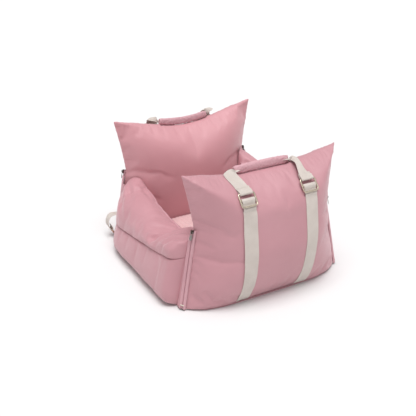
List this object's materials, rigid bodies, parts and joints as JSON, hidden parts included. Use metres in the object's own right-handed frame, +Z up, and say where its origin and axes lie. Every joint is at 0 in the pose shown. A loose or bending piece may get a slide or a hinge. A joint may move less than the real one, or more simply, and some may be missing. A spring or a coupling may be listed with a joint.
{
  "type": "convertible booster seat bag",
  "caption": "Soft open-topped tote seat: padded front and rear panels with corner zips, low bolster sides, a plush cushion, webbing straps and two padded handles.",
  "frame": {"origin": "middle of the footprint, on the floor", "axes": "+X to the right seen from the front, +Y to the rear, +Z up"},
  "size_m": [0.6094, 0.6693, 0.403],
  "materials": {
    "pink_satin_polyester": "smooth, softly shining woven polyester",
    "pale_plush": "short ribbed plush",
    "cream_webbing": "flat woven webbing",
    "fibre_filling": "loose fibre and soft foam",
    "seat_foam": "open-cell foam",
    "base_board": "smooth sheet",
    "zip_tape": "woven tape with a nylon coil",
    "buckle_metal": "pale champagne plating",
    "slider_metal": "dark plated zinc"
  },
  "bodies": {
    "base": {"base_board": "base_board", "base_foam": "seat_foam", "base_lining": "pink_satin_polyester", "base_panel": "pink_satin_polyester"},
    "cushion": {"cushion_cover": "pale_plush", "cushion_filling": "fibre_filling"},
    "front_panel": {"front_buckle_left": "buckle_metal", "front_buckle_right": "buckle_metal", "front_panel_cover": "pink_satin_polyester", "front_panel_filling": "fibre_filling", "front_strap_left": "cream_webbing", "front_strap_right": "cream_webbing", "zip_front_left_panel_half": "zip_tape", "zip_front_right_panel_half": "zip_tape"},
    "rear_panel": {"belt_loop_left": "cream_webbing", "belt_loop_right": "cream_webbing", "belt_ring_left": "buckle_metal", "belt_ring_right": "buckle_metal", "belt_tab_left": "cream_webbing", "belt_tab_right": "cream_webbing", "rear_buckle_left": "buckle_metal", "rear_buckle_right": "buckle_metal", "rear_panel_cover": "pink_satin_polyester", "rear_panel_filling": "fibre_filling", "rear_strap_left": "cream_webbing", "rear_strap_right": "cream_webbing", "zip_rear_left_panel_half": "zip_tape", "zip_rear_right_panel_half": "zip_tape"},
    "left_side": {"left_arm_cover": "pink_satin_polyester", "left_arm_filling": "fibre_filling", "left_wall_cover": "pink_satin_polyester", "left_wall_filling": "fibre_filling", "zip_front_left_side_half": "zip_tape", "zip_rear_left_side_half": "zip_tape"},
    "right_side": {"right_arm_cover": "pink_satin_polyester", "right_arm_filling": "fibre_filling", "right_wall_cover": "pink_satin_polyester", "right_wall_filling": "fibre_filling", "zip_front_right_side_half": "zip_tape", "zip_rear_right_side_half": "zip_tape"},
    "front_handle": {"front_grip_padding": "fibre_filling", "front_grip_sleeve": "pink_satin_polyester", "front_handle_webbing": "cream_webbing"},
    "rear_handle": {"rear_grip_padding": "fibre_filling", "rear_grip_sleeve": "pink_satin_polyester", "rear_handle_webbing": "cream_webbing"},
    "zip_pull_front_left": {"zip_pull_front_left": "buckle_metal"},
    "zip_pull_front_right": {"zip_pull_front_right": "buckle_metal"},
    "zip_pull_rear_left": {"zip_pull_rear_left": "buckle_metal"},
    "zip_pull_rear_right": {"zip_pull_rear_right": "buckle_metal"},
    "zip_slider_front_left": {"zip_slider_front_left": "slider_metal"},
    "zip_slider_front_right": {"zip_slider_front_right": "slider_metal"},
    "zip_slider_rear_left": {"zip_slider_rear_left": "slider_metal"},
    "zip_slider_rear_right": {"zip_slider_rear_right": "slider_metal"}
  },
  "joints": [
    {"name": "cushion_lift", "type": "slide", "parent": "base", "child": "cushion", "axis": [0, 0, 1], "range_m": [0, 0.3]},
    {"name": "front_panel_fold", "type": "hinge", "parent": "base", "child": "front_panel", "pos_m": [0, -0.29084, 0.004], "axis": [1, 0, 0], "range_deg": [0, 76]},
    {"name": "rear_panel_fold", "type": "hinge", "parent": "base", "child": "rear_panel", "pos_m": [0, 0.28071, 0.004], "axis": [-1, 0, 0], "range_deg": [0, 76]},
    {"name": "left_side_fold", "type": "hinge", "parent": "base", "child": "left_side", "pos_m": [-0.304, 0, 0.004], "axis": [0, -1, 0], "range_deg": [0, 80]},
    {"name": "right_side_fold", "type": "hinge", "parent": "base", "child": "right_side", "pos_m": [0.304, 0, 0.004], "axis": [0, 1, 0], "range_deg": [0, 80]},
    {"name": "front_handle_swing", "type": "hinge", "parent": "front_panel", "child": "front_handle", "pos_m": [0, -0.2931, 0.34865], "axis": [1, 0, 0], "range_deg": [0, 115]},
    {"name": "rear_handle_swing", "type": "hinge", "parent": "rear_panel", "child": "rear_handle", "pos_m": [0, 0.29731, 0.35077], "axis": [-1, 0, 0], "range_deg": [0, 115]},
    {"name": "zip_slide_front_left", "type": "slide", "parent": "front_panel", "child": "zip_slider_front_left", "axis": [-0.1892, -0.0608, -0.9801], "range_m": [0, 0.2]},
    {"name": "zip_pull_swing_front_left", "type": "hinge", "parent": "zip_slider_front_left", "child": "zip_pull_front_left", "pos_m": [-0.23094, -0.23005, 0.23742], "axis": [-0.5493, 0.8339, 0.0543], "range_deg": [0, 150]},
    {"name": "zip_slide_front_right", "type": "slide", "parent": "front_panel", "child": "zip_slider_front_right", "axis": [0.1892, -0.0608, -0.9801], "range_m": [0, 0.2]},
    {"name": "zip_pull_swing_front_right", "type": "hinge", "parent": "zip_slider_front_right", "child": "zip_pull_front_right", "pos_m": [0.23094, -0.23005, 0.23742], "axis": [-0.5493, -0.8339, -0.0543], "range_deg": [0, 150]},
    {"name": "zip_slide_rear_left", "type": "slide", "parent": "rear_panel", "child": "zip_slider_rear_left", "axis": [-0.1894, -0.0363, -0.9812], "range_m": [0, 0.2]},
    {"name": "zip_pull_swing_rear_left", "type": "hinge", "parent": "zip_slider_rear_left", "child": "zip_pull_rear_left", "pos_m": [-0.23097, 0.25348, 0.23686], "axis": [0.545, 0.8274, -0.1358], "range_deg": [0, 150]},
    {"name": "zip_slide_rear_right", "type": "slide", "parent": "rear_panel", "child": "zip_slider_rear_right", "axis": [0.1894, -0.0363, -0.9812], "range_m": [0, 0.2]},
    {"name": "zip_pull_swing_rear_right", "type": "hinge", "parent": "zip_slider_rear_right", "child": "zip_pull_rear_right", "pos_m": [0.23097, 0.25348, 0.23686], "axis": [0.545, -0.8274, 0.1358], "range_deg": [0, 150]}
  ]
}
